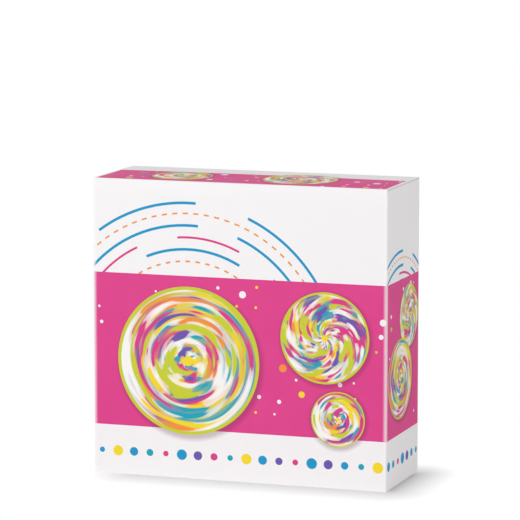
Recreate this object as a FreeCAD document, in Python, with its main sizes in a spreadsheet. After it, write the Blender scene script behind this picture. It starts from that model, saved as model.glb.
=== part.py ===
import FreeCAD, Part
import math
import os
import Sketcher

# A spin art kit in its folding carton, in millimetres.
# The origin is the centre of the carton's base, the front faces -Y and +Z is up.
# The carton is one die-cut board; each panel between two creases is a piece of its own here.
# Inside, a folded card insert holds the hand-spun top, its paper discs, the paint wells and the brush.

DRIVING_SIZES = [
    ("carton_width", 222, "outside, left to right"),
    ("carton_depth", 80, "outside, front to back"),
    ("carton_height", 216, "outside, base to lid"),
    ("board", 0.8, "thickness of the carton board"),
    ("corner_round", 1.2, "outside radius of the upright creases"),
    ("foot_round", 0.5, "radius of the creases at the base"),
    ("bend_round", 0.3, "radius on the bent end of a flap"),
    ("crease_gap", 0.3, "room under the bent end of a flap"),
    ("flap_gap", 0.1, "air between two boards that lie on each other"),
    ("lid_side_gap", 0.3, "lid inside the carton's width, each side"),
    ("lid_front_gap", 0.2, "lid behind the front panel"),
    ("tongue_length", 16, "tuck tongue below the lid"),
    ("tongue_inset", 2.6, "tongue inside the carton's width, each side"),
    ("tongue_round", 11, "radius of the tongue's lower corners"),
    ("tongue_lean", 12, "degrees that the tucked tongue leans inward"),
    ("dust_length", 60, "dust flap, crease to free end"),
    ("dust_taper", 28, "degrees off square of the dust flap's rear edge"),
    ("dust_edge_gap", 1.5, "dust flap inside the carton's depth"),
    ("dust_shoulder", 4, "step in the dust flap that clears the tongue"),
    ("dust_round", 7, "radius of the dust flap's free corners"),
    ("glue_width", 15, "glue flap inside the left panel"),
    ("glue_slope", 9, "height of the glue flap's slanting ends"),
    ("base_lap", 12, "gap behind the inner base flap"),
    ("base_edge_gap", 0.5, "outer base flap behind the front panel"),
    ("insert_board", 0.8, "thickness of the insert card"),
    ("insert_gap", 0.4, "room between the insert and the carton"),
    ("insert_setback", 5.2, "insert behind the front panel"),
    ("headroom", 8.2, "between the insert's deck and the dust flaps"),
    ("cradle_width", 120, "board that carries the peg"),
    ("cradle_head", 20, "cradle board above the spin axis"),
    ("cradle_round", 14, "radius of the cradle board's top corners"),
    ("plate_diameter", 150, "spinning plate over its rim"),
    ("plate_thick", 2, "floor of the spinning plate"),
    ("plate_rim", 3, "width of the plate's rim"),
    ("rim_rise", 2, "rim above the plate's floor"),
    ("rim_skirt", 2, "rim below the plate's floor"),
    ("rim_soft", 0.8, "bevel on the rim"),
    ("plate_clear", 3.8, "rim above the insert's base board"),
    ("plate_setback", 9.2, "plate behind the insert's front board"),
    ("hub_diameter", 16, "boss under the plate"),
    ("hub_drop", 3, "boss below the plate's floor"),
    ("rib_thick", 1.2, "radial ribs under the plate"),
    ("rib_height", 1.5, "radial ribs under the plate"),
    ("rib_count", 8, "radial ribs under the plate"),
    ("stem_diameter", 6, "stem of the peg through the hub"),
    ("stem_clear", 0.05, "radial room round the stem"),
    ("stem_reach", 5, "stem below the hub, in the tip's socket"),
    ("peg_diameter", 9, "straight part of the peg"),
    ("peg_length", 35, "peg above the paper"),
    ("collar_overhang", 3, "foot of the peg beyond its straight part, each side"),
    ("collar_thick", 1.4, "foot of the peg"),
    ("peg_flare", 5, "height over which the peg narrows"),
    ("peg_crown", 3, "radius on the peg's end"),
    ("tip_diameter", 8, "straight part of the tip"),
    ("tip_shoulder", 11, "diameter of the tip against the hub"),
    ("tip_reach", 10.5, "tip below the hub"),
    ("tip_nose", 2.2, "radius on the tip's nose"),
    ("bearing_clear", 0.1, "radial room in the insert's two bearing holes"),
    ("paper_thick", 0.4, "one paper disc"),
    ("paper_clear", 1, "paper inside the rim"),
    ("paper_hole", 7, "hole in a paper disc"),
    ("paper_count", 4, "spare paper discs"),
    ("paper_gap", 0.02, "air between two paper discs"),
    ("leaflet_width", 105, "folded leaflet"),
    ("leaflet_height", 148, "folded leaflet"),
    ("leaflet_sheet", 0.25, "thickness of the leaflet's paper"),
    ("leaflet_fold", 0.5, "outside radius of the leaflet's fold"),
    ("well_mouth", 30, "inside diameter of a well at its mouth"),
    ("well_spacing", 4.5, "between the mouths of two wells"),
    ("well_bottom", 26, "inside diameter of a well at its bottom"),
    ("well_depth", 40, "well below the palette's flange"),
    ("well_soft", 2.2, "bevel at a well's bottom"),
    ("palette_wall", 0.5, "thickness of the formed sheet"),
    ("flange_width", 3, "flange round each well's mouth"),
    ("well_room", 0.4, "room round a well in the deck"),
    ("well_behind_plate", 2, "wells behind the plate's rim"),
    ("paint_fill", 22, "depth of the paint"),
    ("paint_clear", 0.1, "between the paint and its well"),
    ("brush_girth", 7, "brush handle at its thickest"),
    ("handle_length", 118, "brush handle"),
    ("handle_end", 3.6, "handle's diameter near its end"),
    ("handle_neck", 5, "handle's diameter at the ferrule"),
    ("ferrule_length", 24, "brush ferrule"),
    ("ferrule_mouth", 5.6, "ferrule's diameter at the bristles"),
    ("ferrule_wall", 0.3, "thickness of the ferrule"),
    ("bristle_length", 19, "bristles beyond the ferrule"),
    ("brush_slot", 5, "slot in the deck that the brush lies in"),
    ("brush_slot_end", 3, "slot beyond each end of the brush"),
    ("brush_clear", 0.1, "brush above its slot"),
]

document = FreeCAD.newDocument("SpinArtKit")
vector = FreeCAD.Vector
finished = []


class Size:
    """A length that keeps the formula it came from, so that features can be bound to it."""

    def __init__(self, value, formula):
        self.value = value
        self.formula = formula

    def __add__(self, other):
        other = as_size(other)
        return Size(self.value + other.value, f"({self.formula} + {other.formula})")

    def __sub__(self, other):
        other = as_size(other)
        return Size(self.value - other.value, f"({self.formula} - {other.formula})")

    def __rsub__(self, other):
        return as_size(other) - self

    def __mul__(self, other):
        other = as_size(other)
        return Size(self.value * other.value, f"({self.formula} * {other.formula})")

    def __truediv__(self, other):
        other = as_size(other)
        return Size(self.value / other.value, f"({self.formula} / {other.formula})")

    def __neg__(self):
        return as_size(0) - self

    __radd__ = __add__
    __rmul__ = __mul__


def as_size(number):
    if isinstance(number, Size):
        return number
    return Size(float(number), f"({float(number)})")


def tangent(angle):
    return Size(math.tan(math.radians(angle.value)), f"tan({angle.formula})")


def root(area):
    return Size(math.sqrt(area.value), f"sqrt({area.formula})")


def smaller(first, second):
    return Size(min(first.value, second.value), f"min({first.formula}; {second.formula})")


def fill_sheet():
    """Write the driving sizes into the sheet and give them back as Size values."""
    sheet = document.addObject("Spreadsheet::Sheet", "Sizes")
    for row, (alias, number, meaning) in enumerate(DRIVING_SIZES, start=1):
        sheet.set(f"A{row}", meaning)
        sheet.set(f"B{row}", str(number))
        sheet.setAlias(f"B{row}", alias)
    document.recompute()
    aliases = [alias for alias, number, meaning in DRIVING_SIZES]
    return {alias: Size(float(sheet.get(alias)), f"Sizes.{alias}") for alias in aliases}


size = fill_sheet()

# Places that several pieces share
half_width = size["carton_width"] / 2
half_depth = size["carton_depth"] / 2
top = size["carton_height"]
board = size["board"]
inside_front = board - half_depth
inside_back = half_depth - board
inside_side = half_width - board
base_top = board * 3
lid_axis_y = half_depth - board / 2
lid_axis_z = top - board / 2
tongue_axis_y = inside_front + size["lid_front_gap"] + board / 2
dust_axis_x = half_width - board / 2
dust_axis_z = top - board * 1.5 - size["flap_gap"]
card = size["insert_board"]
insert_half = inside_side - board - size["insert_gap"]
front_card_y = inside_front + size["insert_setback"]
rear_card_y = inside_back - size["insert_gap"] - card
deck_top = top - board * 2 - size["flap_gap"] - size["headroom"]
deck_underside = deck_top - card
plate_radius = size["plate_diameter"] / 2
plate_y = front_card_y + card + size["plate_setback"]
spin_z = base_top + card + size["plate_clear"] + plate_radius
paper_radius = plate_radius - size["plate_rim"] - size["paper_clear"]
paper_top = size["plate_thick"] + size["paper_thick"]
peg_top = paper_top + size["peg_length"]
cradle_y = plate_y + peg_top - size["peg_crown"] - card * 3
well_radius = size["well_mouth"] / 2 + size["palette_wall"]
well_pitch = size["well_mouth"] + size["well_spacing"]
flange_radius = size["well_mouth"] / 2 + size["flange_width"]
rim_rear_y = plate_y + size["plate_thick"] + size["rim_rise"]
palette_y = rim_rear_y + size["well_behind_plate"] + well_radius
brush_y = (palette_y + flange_radius + rear_card_y) / 2
brush_radius = size["brush_girth"] / 2
slot_half = size["brush_slot"] / 2
brush_z = deck_top + root(brush_radius * brush_radius - slot_half * slot_half) + size["brush_clear"]
brush_half = (size["handle_length"] + size["ferrule_length"] + size["bristle_length"]) / 2


def new_body(label):
    body = document.addObject("PartDesign::Body", label)
    body.Label = label
    return body


def origin_plane(body, role):
    return next(feature for feature in body.Origin.OriginFeatures if feature.Role == role)


def sketch_on(body, role, lift=None):
    """An empty sketch on an origin plane of the body, or lifted off it along its normal."""
    sketch = body.newObject("Sketcher::SketchObject", "Sketch")
    sketch.AttachmentSupport = [(origin_plane(body, role), "")]
    sketch.MapMode = "FlatFace"
    if lift is not None:
        sketch.setExpression(".AttachmentOffset.Base.z", lift.formula)
    return sketch


def hold(sketch, constraint_kind, references, length):
    """Add a sketch dimension and bind it to its formula."""
    index = sketch.addConstraint(Sketcher.Constraint(constraint_kind, *references, length.value))
    sketch.setExpression(f"Constraints[{index}]", length.formula)


def outline(sketch, corners):
    """Draw a closed outline.

    A corner is (x, y), or (x, y, centre_x, centre_y, radius) where an arc leaves it.
    """
    corners = [tuple(as_size(number) for number in corner) for corner in corners]
    strokes = []
    for index, corner in enumerate(corners):
        following = corners[(index + 1) % len(corners)]
        start = vector(corner[0].value, corner[1].value, 0)
        end = vector(following[0].value, following[1].value, 0)
        if len(corner) == 2:
            strokes.append((sketch.addGeometry(Part.LineSegment(start, end)), 1, 2))
            continue
        centre = vector(corner[2].value, corner[3].value, 0)
        circle = Part.Circle(centre, vector(0, 0, 1), corner[4].value)
        turns_left = (start - centre).cross(end - centre).z > 0
        if turns_left:
            arc = Part.ArcOfCircle(circle, circle.parameter(start), circle.parameter(end))
        else:
            arc = Part.ArcOfCircle(circle, circle.parameter(end), circle.parameter(start))
        number = sketch.addGeometry(arc)
        strokes.append((number, 1, 2) if turns_left else (number, 2, 1))
        hold(sketch, "Radius", (number,), corner[4])
    for index, (number, begin, finish) in enumerate(strokes):
        following, following_begin, following_finish = strokes[(index + 1) % len(strokes)]
        sketch.addConstraint(Sketcher.Constraint("Coincident", number, finish, following, following_begin))
        hold(sketch, "DistanceX", (-1, 1, number, begin), corners[index][0])
        hold(sketch, "DistanceY", (-1, 1, number, begin), corners[index][1])


def circle_in(sketch, x, y, radius):
    x = as_size(x)
    y = as_size(y)
    number = sketch.addGeometry(Part.Circle(vector(x.value, y.value, 0), vector(0, 0, 1), radius.value))
    hold(sketch, "Radius", (number,), radius)
    hold(sketch, "DistanceX", (-1, 1, number, 3), x)
    hold(sketch, "DistanceY", (-1, 1, number, 3), y)


def pad(body, sketch, length, backwards=False):
    feature = body.newObject("PartDesign::Pad", "Pad")
    feature.Profile = sketch
    feature.Reversed = backwards
    feature.setExpression("Length", length.formula)
    document.recompute()
    return feature


def cut_through(body, sketch):
    """Cut the sketch through the whole solid and make sure that it took something away."""
    before = body.Shape.Volume
    feature = body.newObject("PartDesign::Pocket", "Pocket")
    feature.Profile = sketch
    feature.Type = "ThroughAll"
    feature.Midplane = True
    document.recompute()
    if body.Shape.Volume >= before:
        raise ValueError(f"{body.Label}: the pocket cut nothing")
    return feature


def revolve(body, sketch):
    """Turn the sketch's outline about its own upright axis."""
    feature = body.newObject("PartDesign::Revolution", "Revolution")
    feature.Profile = sketch
    feature.ReferenceAxis = (sketch, ["V_Axis"])
    feature.Angle = 360
    document.recompute()
    return feature


def soften(body, treatment, length, chosen):
    """Fillet or chamfer the edges of the solid so far for which chosen(edge) is true."""
    base = body.Tip
    names = [f"Edge{index}" for index, edge in enumerate(base.Shape.Edges, start=1) if chosen(edge)]
    if not names:
        raise ValueError(f"{body.Label}: no edge to {treatment.lower()}")
    feature = body.newObject(f"PartDesign::{treatment}", treatment)
    feature.Base = (base, names)
    feature.setExpression("Radius" if treatment == "Fillet" else "Size", length.formula)
    document.recompute()
    return feature


def fillet(body, radius, chosen):
    return soften(body, "Fillet", radius, chosen)


def chamfer(body, length, chosen):
    return soften(body, "Chamfer", length, chosen)


def near(first, second):
    return abs(first - second) < 1e-4


def runs_along(edge, axis):
    """True for a straight edge along the X, Y or Z axis."""
    return all(near(getattr(edge.BoundBox, f"{other}Length"), 0) for other in "XYZ" if other != axis)


def ring_at(edge, radius, height):
    """True for a whole circle of that radius at that height."""
    if edge.Degenerated or not hasattr(edge.Curve, "Radius"):
        return False
    return near(edge.Curve.Radius, radius) and near(edge.Curve.Center.z, height)


def place(body, x=0, y=0, z=0, axis=None, turn=0):
    """Put a finished body in its place, turned about one axis through its own origin."""
    if axis is not None:
        body.Placement = FreeCAD.Placement(vector(0, 0, 0), FreeCAD.Rotation(axis, as_size(turn).value))
        if isinstance(turn, Size):
            body.setExpression(".Placement.Rotation.Angle", turn.formula)
    for letter, distance in zip("xyz", (x, y, z)):
        body.setExpression(f".Placement.Base.{letter}", as_size(distance).formula)
    finished.append(body)


def wall_panel(label, half_length, half_across, height, turn):
    """An upright panel. Its ends are mitred in the middle of the rounded creases."""
    body = new_body(label)
    bend = size["corner_round"]
    middle = bend * (1 - math.sqrt(0.5))
    sketch = sketch_on(body, "XY_Plane")
    outline(sketch, [
        (board - half_length, board - half_across),
        (middle - half_length, middle - half_across, bend - half_length, bend - half_across, bend),
        (bend - half_length, -half_across),
        (half_length - bend, -half_across, half_length - bend, bend - half_across, bend),
        (half_length - middle, middle - half_across),
        (half_length - board, board - half_across),
    ])
    pad(body, sketch, height)
    outer = -half_across.value
    foot_round = smaller(size["foot_round"], (board - middle) * 1.2)
    fillet(body, foot_round, lambda edge: near(edge.BoundBox.ZMax, 0)
           and near(edge.BoundBox.YMin, outer) and near(edge.BoundBox.YMax, outer))
    place(body, axis=vector(0, 0, 1), turn=turn)


def carton_walls():
    gap = size["crease_gap"]
    side_top = top - board * 2 - size["flap_gap"] - gap
    wall_panel("front_panel", half_width, half_depth, top, 0)
    wall_panel("back_panel", half_width, half_depth, top - board - gap, 180)
    wall_panel("right_panel", half_depth, half_width, side_top, 90)
    wall_panel("left_panel", half_depth, half_width, side_top, -90)


def glue_flap():
    """The seam: a flap from the back panel, glued to the inside of the left panel."""
    body = new_body("glue_flap")
    near_end = inside_back - size["glue_width"]
    upper = top - board * 2 - size["glue_slope"]
    sketch = sketch_on(body, "YZ_Plane")
    outline(sketch, [
        (inside_back, base_top),
        (inside_back, upper),
        (near_end, upper - size["glue_slope"]),
        (near_end, base_top + size["glue_slope"]),
    ])
    pad(body, sketch, board)
    place(body, x=-inside_side)


def flap_board(label, corners, thickness):
    """A flat board drawn in plan, from z = 0 up to its thickness."""
    body = new_body(label)
    sketch = sketch_on(body, "XY_Plane")
    outline(sketch, corners)
    pad(body, sketch, thickness)
    return body


def dust_flap(label, side, moving):
    """A dust flap, drawn inward from its crease at x = 0, tapered away from the lid's crease."""
    edge_gap = size["dust_edge_gap"]
    shoulder = size["dust_shoulder"]
    far = size["dust_length"]
    front = edge_gap - half_depth
    rear = half_depth - edge_gap
    taper = far * tangent(size["dust_taper"])
    crease = board / 2 if moving else as_size(0)
    tongue_edge = size["tongue_inset"] - board / 2
    stations = [
        (-crease, front),
        (tongue_edge * 0.4, front),
        (tongue_edge - size["flap_gap"] * 3, front + shoulder),
        (far, front + shoulder),
        (far, rear - taper),
        (-crease, rear),
    ]
    body = flap_board(label, [(x * -side, y) for x, y in stations], board)
    fillet(body, size["dust_round"], lambda edge: runs_along(edge, "Z")
           and near(abs(edge.BoundBox.XMin), far.value))
    if not moving:
        place(body, x=inside_side * side, z=board * 2)
        return
    fillet(body, size["bend_round"], lambda edge: runs_along(edge, "Y")
           and near(abs(edge.BoundBox.XMin), crease.value))
    place(body, x=dust_axis_x * side, z=dust_axis_z - board / 2)


def base_closure():
    """Four glued flaps close the base: the two dust flaps, the inner flap and the outer flap below it."""
    dust_flap("base_dust_flap_left", -1, False)
    dust_flap("base_dust_flap_right", 1, False)
    behind = inside_back - size["base_lap"]
    inner = flap_board("base_inner_flap", [
        (-inside_side, inside_front),
        (inside_side, inside_front),
        (inside_side, behind),
        (-inside_side, behind),
    ], board)
    fillet(inner, size["dust_round"], lambda edge: runs_along(edge, "Z")
           and near(edge.BoundBox.YMax, behind.value))
    place(inner, z=board)
    start = inside_front + size["base_edge_gap"]
    outer = flap_board("base_outer_flap", [
        (-inside_side, start),
        (inside_side, start),
        (inside_side, inside_back),
        (-inside_side, inside_back),
    ], board)
    place(outer)


def lid_panel():
    """The lid: hinged on the back panel, bent at its front into the tuck tongue."""
    side = half_width - size["lid_side_gap"]
    front = tongue_axis_y - board / 2
    body = flap_board("lid_panel", [
        (-side, front),
        (side, front),
        (side, half_depth),
        (-side, half_depth),
    ], board)
    fillet(body, size["bend_round"], lambda edge: runs_along(edge, "X"))
    place(body, z=top - board)


def tuck_tongue():
    """The tongue that tucks behind the front panel. Its lower corners are rounded to find their way in."""
    body = new_body("tuck_tongue")
    side = half_width - size["tongue_inset"]
    start = board / 2 + size["crease_gap"]
    end = size["tongue_length"]
    lead = size["tongue_round"] / 4
    sketch = sketch_on(body, "XZ_Plane", -board / 2)
    outline(sketch, [
        (-side, -start),
        (side, -start),
        (side - lead, -end),
        (lead - side, -end),
    ])
    pad(body, sketch, board)
    fillet(body, size["tongue_round"], lambda edge: runs_along(edge, "Y")
           and near(edge.BoundBox.ZMin, -end.value))
    place(body, y=tongue_axis_y, z=lid_axis_z, axis=vector(1, 0, 0), turn=size["tongue_lean"])


def upright_card(label, corners, front_y, holes):
    """An upright board of the insert, drawn from the front, with round holes."""
    body = new_body(label)
    sketch = sketch_on(body, "XZ_Plane")
    outline(sketch, corners)
    pad(body, sketch, card, backwards=True)
    for x, z, radius in holes:
        cut = sketch_on(body, "XZ_Plane")
        circle_in(cut, x, z, radius)
        cut_through(body, cut)
    place(body, y=front_y)
    return body


def card_insert():
    """The folded insert: front and rear legs under a deck, and a cradle board on a base board."""
    def leg(label, front_y, holes):
        upright_card(label, [
            (-insert_half, base_top),
            (insert_half, base_top),
            (insert_half, deck_underside),
            (-insert_half, deck_underside),
        ], front_y, holes)

    tip_hole = size["tip_diameter"] / 2 + size["bearing_clear"]
    peg_hole = size["peg_diameter"] / 2 + size["bearing_clear"]
    leg("insert_front_board", front_card_y, [(0, spin_z, tip_hole)])
    leg("insert_rear_board", rear_card_y, [])
    half = size["cradle_width"] / 2
    cradle_top = spin_z + size["cradle_head"]
    cradle = upright_card("insert_cradle_board", [
        (-half, base_top + card),
        (half, base_top + card),
        (half, cradle_top),
        (-half, cradle_top),
    ], cradle_y, [(0, spin_z, peg_hole)])
    fillet(cradle, size["cradle_round"], lambda edge: runs_along(edge, "Y")
           and near(edge.BoundBox.ZMax, cradle_top.value))
    base_board = flap_board("insert_base_board", [
        (-half, front_card_y + card),
        (half, front_card_y + card),
        (half, cradle_y + card),
        (-half, cradle_y + card),
    ], card)
    place(base_board, z=base_top)


def insert_deck():
    """The deck, die-cut for the three paint wells and for the brush."""
    rear = rear_card_y + card
    body = flap_board("insert_deck", [
        (-insert_half, front_card_y),
        (insert_half, front_card_y),
        (insert_half, rear),
        (-insert_half, rear),
    ], card)
    wells = sketch_on(body, "XY_Plane")
    for place_in_row in (-1, 0, 1):
        circle_in(wells, well_pitch * place_in_row, palette_y, well_radius + size["well_room"])
    cut_through(body, wells)
    end = brush_half + size["brush_slot_end"] - slot_half
    slot = sketch_on(body, "XY_Plane")
    outline(slot, [
        (-end, brush_y - slot_half),
        (end, brush_y - slot_half, end, brush_y, slot_half),
        (end + slot_half, brush_y, end, brush_y, slot_half),
        (end, brush_y + slot_half),
        (-end, brush_y + slot_half, -end, brush_y, slot_half),
        (-end - slot_half, brush_y, -end, brush_y, slot_half),
    ])
    cut_through(body, slot)
    fillet(body, size["bend_round"], lambda edge: runs_along(edge, "X")
           and near(edge.BoundBox.ZMin, card.value) and near(edge.BoundBox.XLength, insert_half.value * 2))
    place(body, z=deck_underside)


def on_spin_axis(body):
    """Put a turned piece on the spin axis, with its own Z pointing to the back."""
    place(body, y=plate_y, z=spin_z, axis=vector(1, 0, 0), turn=-90)


def spin_plate():
    """The moulded plate: a floor with a raised rim, a hub below it and radial ribs between the two."""
    body = new_body("spin_plate")
    bore = size["stem_diameter"] / 2 + size["stem_clear"]
    hub = size["hub_diameter"] / 2
    floor = size["plate_thick"]
    lip = plate_radius - size["plate_rim"]
    rim_top = floor + size["rim_rise"]
    sketch = sketch_on(body, "XZ_Plane")
    outline(sketch, [
        (bore, -size["hub_drop"]),
        (hub, -size["hub_drop"]),
        (hub, 0),
        (lip, 0),
        (lip, -size["rim_skirt"]),
        (plate_radius, -size["rim_skirt"]),
        (plate_radius, rim_top),
        (lip, rim_top),
        (lip, floor),
        (bore, floor),
    ])
    revolve(body, sketch)
    rim_edges = [(plate_radius, rim_top), (lip, rim_top), (plate_radius, -size["rim_skirt"])]
    chamfer(body, size["rim_soft"], lambda edge: any(
        ring_at(edge, radius.value, height.value) for radius, height in rim_edges))
    rib_half = size["rib_thick"] / 2
    rib_sketch = sketch_on(body, "XY_Plane")
    outline(rib_sketch, [
        (hub - rib_half, -rib_half),
        (lip + rib_half, -rib_half),
        (lip + rib_half, rib_half),
        (hub - rib_half, rib_half),
    ])
    rib = pad(body, rib_sketch, size["rib_height"], backwards=True)
    ribs = body.newObject("PartDesign::PolarPattern", "Ribs")
    ribs.Originals = [rib]
    ribs.Axis = (rib_sketch, ["N_Axis"])
    ribs.Angle = 360
    ribs.setExpression("Occurrences", size["rib_count"].formula)
    body.Tip = ribs
    document.recompute()
    on_spin_axis(body)


def spin_peg():
    """The peg that the fingers twirl, with the stem that joins plate, paper and tip."""
    body = new_body("spin_peg")
    stem = size["stem_diameter"] / 2
    straight = size["peg_diameter"] / 2
    collar = straight + size["collar_overhang"]
    crown = size["peg_crown"]
    collar_top = paper_top + size["collar_thick"]
    sketch = sketch_on(body, "XZ_Plane")
    outline(sketch, [
        (0, -size["hub_drop"] - size["stem_reach"]),
        (stem, -size["hub_drop"] - size["stem_reach"]),
        (stem, paper_top),
        (collar, paper_top),
        (collar, collar_top),
        (straight + size["collar_overhang"] / 2, collar_top),
        (straight, collar_top + size["peg_flare"]),
        (straight, peg_top - crown, straight - crown, peg_top - crown, crown),
        (straight - crown, peg_top),
        (0, peg_top),
    ])
    revolve(body, sketch)
    chamfer(body, size["collar_thick"] / 2, lambda edge: ring_at(edge, collar.value, collar_top.value))
    on_spin_axis(body)


def spin_tip():
    """The tip that the plate spins on: a socket on the stem, a bearing length and a rounded nose."""
    body = new_body("spin_tip")
    wide = size["tip_shoulder"] / 2
    straight = size["tip_diameter"] / 2
    socket = size["stem_diameter"] / 2 + size["stem_clear"]
    upper = -size["hub_drop"]
    socket_floor = upper - size["stem_reach"] - size["stem_clear"]
    end = upper - size["tip_reach"]
    nose = size["tip_nose"]
    step = wide - straight
    sketch = sketch_on(body, "XZ_Plane")
    outline(sketch, [
        (socket, upper),
        (socket, socket_floor),
        (0, socket_floor),
        (0, end),
        (straight - nose, end, straight - nose, end + nose, nose),
        (straight, end + nose),
        (straight, upper - step * 2),
        (wide, upper - step),
        (wide, upper),
    ])
    revolve(body, sketch)
    on_spin_axis(body)


def paper_discs():
    """The paper on the plate, and the pack of spare ones that stands against the rear board."""
    hole = size["paper_hole"] / 2
    thick = size["paper_thick"]
    mounted = new_body("paper_disc")
    sketch = sketch_on(mounted, "XY_Plane", size["plate_thick"])
    circle_in(sketch, 0, 0, paper_radius)
    circle_in(sketch, 0, 0, hole)
    pad(mounted, sketch, thick)
    on_spin_axis(mounted)

    sheets = []
    last_face = rear_card_y - size["paper_gap"]
    floor = board * 2 + size["paper_gap"]
    for index in range(int(size["paper_count"].value)):
        face_y = last_face - (thick + size["paper_gap"]) * index
        solids = []
        for radius in (paper_radius, hole):
            cylinder = document.addObject("Part::Cylinder", "PaperCylinder")
            cylinder.Placement = FreeCAD.Placement(vector(0, 0, 0), FreeCAD.Rotation(vector(1, 0, 0), 90))
            cylinder.setExpression("Radius", radius.formula)
            cylinder.setExpression("Height", thick.formula)
            cylinder.setExpression(".Placement.Base.y", face_y.formula)
            cylinder.setExpression(".Placement.Base.z", (floor + paper_radius).formula)
            solids.append(cylinder)
        sheet = document.addObject("Part::Cut", "PaperSheet")
        sheet.Base, sheet.Tool = solids
        sheets.append(sheet)
    pack = document.addObject("Part::Compound", "spare_paper_discs")
    pack.Label = "spare_paper_discs"
    pack.Links = sheets
    finished.append(pack)


def leaflet():
    """A sheet folded once, standing in front of the spare paper discs."""
    body = new_body("leaflet")
    bend = size["leaflet_fold"]
    paper = size["leaflet_sheet"]
    inner = bend - paper
    half = size["leaflet_width"] / 2
    sketch = sketch_on(body, "XY_Plane", board * 2 + size["flap_gap"])
    outline(sketch, [
        (half, bend),
        (bend - half, bend, bend - half, 0, bend),
        (-half, 0, bend - half, 0, bend),
        (bend - half, -bend),
        (half, -bend),
        (half, -inner),
        (bend - half, -inner, bend - half, 0, inner),
        (bend - half - inner, 0, bend - half, 0, inner),
        (bend - half, inner),
        (half, inner),
    ])
    pad(body, sketch, size["leaflet_height"])
    pack_front = rear_card_y - (size["paper_thick"] + size["paper_gap"]) * size["paper_count"]
    place(body, y=pack_front - size["flap_gap"] - bend)


def paint_palette():
    """The palette, formed from one clear sheet: three tapered wells whose round flanges run together."""
    body = new_body("paint_palette")
    mouth = size["well_mouth"] / 2
    bottom = size["well_bottom"] / 2
    wall = size["palette_wall"]
    depth = size["well_depth"]
    sketch = sketch_on(body, "XZ_Plane")
    outline(sketch, [
        (0, -depth),
        (bottom + wall, -depth),
        (mouth + wall, 0),
        (flange_radius, 0),
        (flange_radius, wall),
        (mouth, wall),
        (bottom, wall - depth),
        (0, wall - depth),
    ])
    well = revolve(body, sketch)
    row = body.newObject("PartDesign::LinearPattern", "Row")
    row.Originals = [well]
    row.Direction = (sketch, ["H_Axis"])
    row.setExpression("Length", (well_pitch * 2).formula)
    row.Occurrences = 3
    body.Tip = row
    document.recompute()
    chamfer(body, size["well_soft"], lambda edge: ring_at(edge, bottom.value, (wall - depth).value)
            or ring_at(edge, (bottom + wall).value, -depth.value))
    place(body, x=-well_pitch, y=palette_y, z=deck_top)


def paints():
    """Poster paint in the three wells."""
    clear = size["paint_clear"]
    bottom = size["well_bottom"] / 2
    slope = (size["well_mouth"] / 2 - bottom) / size["well_depth"]
    fill = size["paint_fill"]
    for place_in_row, colour in zip((-1, 0, 1), ("red", "yellow", "blue")):
        body = new_body(f"paint_{colour}")
        sketch = sketch_on(body, "XZ_Plane")
        outline(sketch, [
            (0, clear),
            (bottom - clear, clear),
            (bottom - clear + slope * fill, fill),
            (0, fill),
        ])
        revolve(body, sketch)
        chamfer(body, size["well_soft"], lambda edge: ring_at(edge, (bottom - clear).value, clear.value))
        well_floor = deck_top - size["well_depth"] + size["palette_wall"]
        place(body, x=well_pitch * place_in_row, y=palette_y, z=well_floor)


def along_brush(body, start):
    """Lay a turned piece along the brush, which points to the right."""
    place(body, x=start - brush_half, y=brush_y, z=brush_z, axis=vector(0, 1, 0), turn=90)


def brush():
    """A round paint brush: a turned handle, a crimped ferrule and a pointed tuft."""
    handle = new_body("brush_handle")
    length = size["handle_length"]
    end = size["handle_end"] / 2
    neck = size["handle_neck"] / 2
    sketch = sketch_on(handle, "XZ_Plane")
    belly_start = length * 0.62
    belly_end = length * 0.8
    outline(sketch, [
        (0, 0, 0, end, end),
        (end, end),
        (brush_radius, belly_start),
        (brush_radius, belly_end),
        (neck, length),
        (0, length),
    ])
    revolve(handle, sketch)
    along_brush(handle, as_size(0))

    ferrule = new_body("brush_ferrule")
    wall = size["ferrule_wall"]
    mouth = size["ferrule_mouth"] / 2
    tube = size["ferrule_length"]
    crimp = tube / 6
    sketch = sketch_on(ferrule, "XZ_Plane")
    outline(sketch, [
        (0, 0),
        (neck + wall, 0),
        (neck + wall, crimp),
        (neck, crimp + wall),
        (neck + wall, crimp + wall * 2),
        (neck + wall, crimp * 2),
        (neck, crimp * 2 + wall),
        (neck + wall, crimp * 2 + wall * 2),
        (mouth, tube),
        (0, tube),
    ])
    revolve(ferrule, sketch)
    along_brush(ferrule, length)

    bristles = new_body("brush_bristles")
    tuft = size["bristle_length"]
    root_radius = mouth - wall
    belly = mouth + wall / 2
    sketch = sketch_on(bristles, "XZ_Plane")
    outline(sketch, [
        (0, 0),
        (root_radius, 0),
        (belly, tuft * 0.3),
        (belly * 0.72, tuft * 0.7),
        (wall, tuft),
        (0, tuft),
    ])
    revolve(bristles, sketch)
    along_brush(bristles, length + tube)


carton_walls()
glue_flap()
base_closure()
lid_panel()
tuck_tongue()
dust_flap("dust_flap_left", -1, True)
dust_flap("dust_flap_right", 1, True)
card_insert()
insert_deck()
spin_plate()
spin_peg()
spin_tip()
paper_discs()
leaflet()
paint_palette()
paints()
brush()
document.recompute()

for item in document.Objects:
    if "Invalid" in item.State or "Error" in item.State:
        raise ValueError(f"{item.Label}: {item.State}")
for piece in finished:
    if piece.Shape.isNull() or not piece.Shape.isValid():
        raise ValueError(f"{piece.Label}: its shape is not valid")

os.makedirs("parts", exist_ok=True)
for piece in finished:
    piece.Shape.exportStep(f"parts/{piece.Label}.step")
print(f"{len(finished)} pieces written")
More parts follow.
